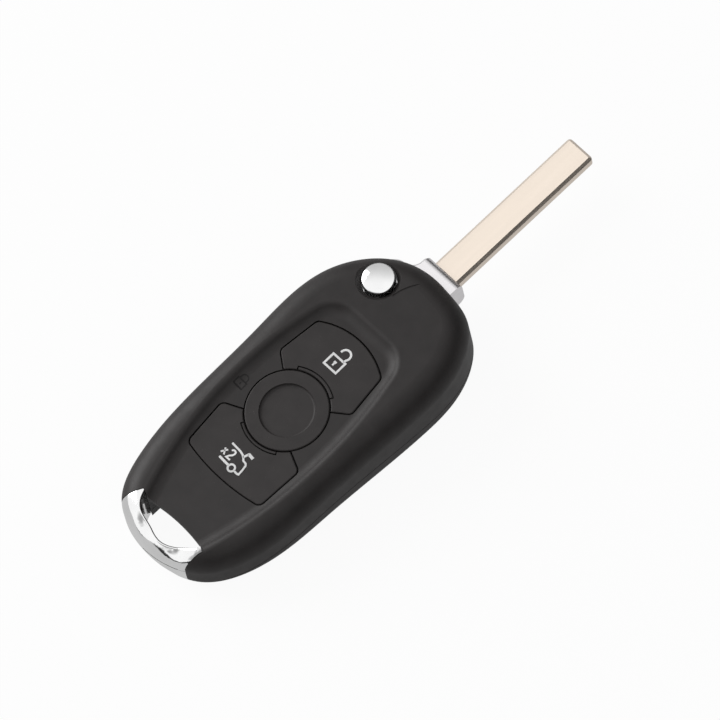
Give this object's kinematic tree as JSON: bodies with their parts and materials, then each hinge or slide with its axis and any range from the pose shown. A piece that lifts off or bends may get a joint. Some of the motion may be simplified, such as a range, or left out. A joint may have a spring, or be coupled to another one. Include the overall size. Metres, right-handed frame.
{
  "type": "folding car remote key",
  "caption": "Folding car remote key: black plastic case with unlock, lock and boot buttons, blade swung out, chrome release button and chrome keyring bow.",
  "frame": {"origin": "flat back of the case, straight below the middle of the round lock button", "axes": "+X along the extended blade to its tip, +Y to the side where the blade folds away, +Z out of the button face"},
  "size_m": [0.1208, 0.0381, 0.0167],
  "materials": {
    "case_plastic": "satin",
    "button_plastic": "satin",
    "chrome": "polished",
    "hub_metal": "satin nickel",
    "blade_metal": "satin nickel silver",
    "steel": "brushed",
    "rubber": "soft",
    "switch_plastic": "gloss",
    "board": "gloss",
    "chip_plastic": "matt",
    "icon_print": "matt white ink",
    "ferrite": "matt"
  },
  "bodies": {
    "case": {"front_shell": "case_plastic", "back_shell": "case_plastic", "keyring_bow": "chrome", "rubber_mat": "rubber", "unlock_switch": "switch_plastic", "lock_switch": "switch_plastic", "boot_switch": "switch_plastic", "circuit_board": "board", "microchip": "chip_plastic", "crystal": "steel", "antenna_coil": "ferrite", "small_parts": "chip_plastic", "coin_cell": "steel", "plus_contact": "steel", "minus_contact": "steel", "transponder": "chip_plastic", "flip_spring": "steel"},
    "blade_assembly": {"blade_hub": "hub_metal", "blade": "blade_metal", "roll_pin": "steel", "release_spring": "steel"},
    "release_key": {"release_button": "chrome"},
    "unlock_key": {"unlock_button": "button_plastic"},
    "lock_key": {"lock_button": "button_plastic"},
    "boot_key": {"boot_button": "button_plastic"}
  },
  "joints": [
    {"name": "blade_flip", "type": "hinge", "parent": "case", "child": "blade_assembly", "pos_m": [0.0322, 0.0064, 0.0074], "axis": [0, 0, 1], "range_deg": [0, 180]},
    {"name": "release_press", "type": "slide", "parent": "blade_assembly", "child": "release_key", "axis": [0, 0, -1], "range_m": [0, 0.0015], "stiffness_N_per_m": 2000, "springref_m": -0.001, "deforming": ["release_spring"]},
    {"name": "unlock_press", "type": "slide", "parent": "case", "child": "unlock_key", "axis": [0, 0, -1], "range_m": [0, 0.0005], "stiffness_N_per_m": 2500, "springref_m": -0.0005},
    {"name": "lock_press", "type": "slide", "parent": "case", "child": "lock_key", "axis": [0, 0, -1], "range_m": [0, 0.0005], "stiffness_N_per_m": 2500, "springref_m": -0.0005},
    {"name": "boot_press", "type": "slide", "parent": "case", "child": "boot_key", "axis": [0, 0, -1], "range_m": [0, 0.0005], "stiffness_N_per_m": 2500, "springref_m": -0.0005}
  ]
}
